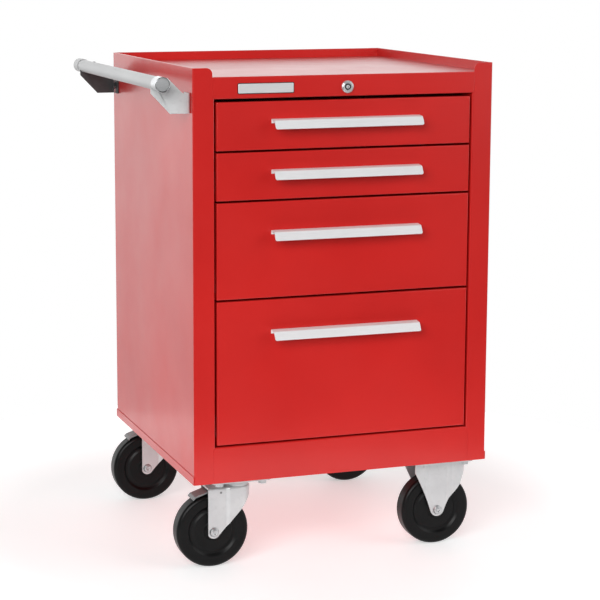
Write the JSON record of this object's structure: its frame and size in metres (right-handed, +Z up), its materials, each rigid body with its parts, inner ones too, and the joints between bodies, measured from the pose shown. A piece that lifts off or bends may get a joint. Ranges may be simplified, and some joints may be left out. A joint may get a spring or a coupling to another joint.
{
  "type": "rolling tool cabinet",
  "caption": "Folded-steel tool cabinet on casters with full-width drawers on telescopic slides, a recessed top tray, a header lock and a side push handle.",
  "frame": {"origin": "on the floor, under the centre of the overall bounding box", "axes": "+Z up, front with the drawers towards -Y, push handle towards -X"},
  "size_m": [0.6044, 0.562, 0.8495],
  "materials": {
    "body_paint": "semi-gloss red powder coat",
    "plate_blank": "blank satin plate",
    "slide_steel": "zinc plated",
    "pull_metal": "satin silver",
    "handle_paint": "light grey",
    "bracket_steel": "zinc plated",
    "chrome": "polished",
    "caster_steel": "bright zinc plated",
    "fastener_steel": "zinc plated",
    "wheel_rubber": "hard black rubber",
    "pedal_steel": "zinc plated"
  },
  "bodies": {
    "cabinet": {"left_side_panel": "body_paint", "right_side_panel": "body_paint", "back_panel": "body_paint", "top_tray": "body_paint", "header": "body_paint", "bottom_rail": "body_paint", "base_pan": "body_paint", "caster_channels": "body_paint", "slide_uprights": "slide_steel", "outer_slides": "slide_steel", "lock_housing": "chrome", "lock_guides": "slide_steel", "name_plate": "plate_blank", "handle_tube": "handle_paint", "handle_caps": "chrome", "front_handle_bracket": "bracket_steel", "rear_handle_bracket": "bracket_steel", "handle_bolts": "fastener_steel", "handle_nuts": "fastener_steel", "swivel_plates": "caster_steel", "swivel_races": "caster_steel", "kingpins": "fastener_steel", "rigid_forks": "caster_steel", "rigid_axles": "fastener_steel", "caster_bolts": "fastener_steel", "caster_nuts": "fastener_steel"},
    "drawer_1": {"drawer_1_box": "body_paint", "drawer_1_front": "body_paint", "drawer_1_pull": "pull_metal", "drawer_1_inner_slides": "slide_steel"},
    "drawer_1_middle": {"drawer_1_middle_slides": "slide_steel"},
    "drawer_2": {"drawer_2_box": "body_paint", "drawer_2_front": "body_paint", "drawer_2_pull": "pull_metal", "drawer_2_inner_slides": "slide_steel"},
    "drawer_2_middle": {"drawer_2_middle_slides": "slide_steel"},
    "drawer_3": {"drawer_3_box": "body_paint", "drawer_3_front": "body_paint", "drawer_3_pull": "pull_metal", "drawer_3_inner_slides": "slide_steel"},
    "drawer_3_middle": {"drawer_3_middle_slides": "slide_steel"},
    "drawer_4": {"drawer_4_box": "body_paint", "drawer_4_front": "body_paint", "drawer_4_pull": "pull_metal", "drawer_4_inner_slides": "slide_steel"},
    "drawer_4_middle": {"drawer_4_middle_slides": "slide_steel"},
    "lock": {"lock_plug": "chrome", "lock_rod": "slide_steel"},
    "lock_bar": {"lock_bar": "slide_steel"},
    "front_left_swivel": {"front_left_fork": "caster_steel", "front_left_axle": "fastener_steel"},
    "front_left_wheel": {"front_left_wheel": "wheel_rubber"},
    "front_left_brake": {"front_left_brake_pedal": "pedal_steel"},
    "front_right_wheel": {"front_right_wheel": "wheel_rubber"},
    "rear_left_swivel": {"rear_left_fork": "caster_steel", "rear_left_axle": "fastener_steel"},
    "rear_left_wheel": {"rear_left_wheel": "wheel_rubber"},
    "rear_left_brake": {"rear_left_brake_pedal": "pedal_steel"},
    "rear_right_wheel": {"rear_right_wheel": "wheel_rubber"}
  },
  "joints": [
    {"name": "drawer_1_slide", "type": "slide", "parent": "cabinet", "child": "drawer_1", "axis": [0, -1, 0], "range_m": [0, 0.4]},
    {"name": "drawer_1_middle_slide", "type": "slide", "parent": "cabinet", "child": "drawer_1_middle", "axis": [0, -1, 0], "range_m": [0, 0.2]},
    {"name": "drawer_2_slide", "type": "slide", "parent": "cabinet", "child": "drawer_2", "axis": [0, -1, 0], "range_m": [0, 0.4]},
    {"name": "drawer_2_middle_slide", "type": "slide", "parent": "cabinet", "child": "drawer_2_middle", "axis": [0, -1, 0], "range_m": [0, 0.2]},
    {"name": "drawer_3_slide", "type": "slide", "parent": "cabinet", "child": "drawer_3", "axis": [0, -1, 0], "range_m": [0, 0.4]},
    {"name": "drawer_3_middle_slide", "type": "slide", "parent": "cabinet", "child": "drawer_3_middle", "axis": [0, -1, 0], "range_m": [0, 0.2]},
    {"name": "drawer_4_slide", "type": "slide", "parent": "cabinet", "child": "drawer_4", "axis": [0, -1, 0], "range_m": [0, 0.4]},
    {"name": "drawer_4_middle_slide", "type": "slide", "parent": "cabinet", "child": "drawer_4_middle", "axis": [0, -1, 0], "range_m": [0, 0.2]},
    {"name": "lock_turn", "type": "hinge", "parent": "cabinet", "child": "lock", "pos_m": [0.03585, -0.254, 0.8142], "axis": [0, 1, 0], "range_deg": [0, 90]},
    {"name": "lock_bar_drop", "type": "slide", "parent": "cabinet", "child": "lock_bar", "axis": [0, 0, -1], "range_m": [0, 0.01131]},
    {"name": "front_left_swivel_turn", "type": "hinge", "parent": "cabinet", "child": "front_left_swivel", "pos_m": [-0.14675, -0.211, 0.14], "axis": [0, 0, 1], "continuous": true},
    {"name": "front_left_wheel_roll", "type": "hinge", "parent": "front_left_swivel", "child": "front_left_wheel", "pos_m": [-0.19125, -0.211, 0.0635], "axis": [0, 1, 0], "continuous": true},
    {"name": "front_left_brake_press", "type": "hinge", "parent": "front_left_swivel", "child": "front_left_brake", "pos_m": [-0.17875, -0.211, 0.1315], "axis": [0, -1, 0], "range_deg": [0, 2]},
    {"name": "front_right_wheel_roll", "type": "hinge", "parent": "cabinet", "child": "front_right_wheel", "pos_m": [0.22125, -0.211, 0.0635], "axis": [0, 1, 0], "continuous": true},
    {"name": "rear_left_swivel_turn", "type": "hinge", "parent": "cabinet", "child": "rear_left_swivel", "pos_m": [-0.14675, 0.211, 0.14], "axis": [0, 0, 1], "continuous": true},
    {"name": "rear_left_wheel_roll", "type": "hinge", "parent": "rear_left_swivel", "child": "rear_left_wheel", "pos_m": [-0.19125, 0.211, 0.0635], "axis": [0, 1, 0], "continuous": true},
    {"name": "rear_left_brake_press", "type": "hinge", "parent": "rear_left_swivel", "child": "rear_left_brake", "pos_m": [-0.17875, 0.211, 0.1315], "axis": [0, -1, 0], "range_deg": [0, 2]},
    {"name": "rear_right_wheel_roll", "type": "hinge", "parent": "cabinet", "child": "rear_right_wheel", "pos_m": [0.22125, 0.211, 0.0635], "axis": [0, 1, 0], "continuous": true}
  ],
  "couplings": [
    {"joint": "drawer_1_middle_slide", "follows": "drawer_1_slide", "ratio": 0.5},
    {"joint": "drawer_2_middle_slide", "follows": "drawer_2_slide", "ratio": 0.5},
    {"joint": "drawer_3_middle_slide", "follows": "drawer_3_slide", "ratio": 0.5},
    {"joint": "drawer_4_middle_slide", "follows": "drawer_4_slide", "ratio": 0.5},
    {"joint": "lock_turn", "follows": "lock_bar_drop", "rad_per_m": 138.84}
  ]
}
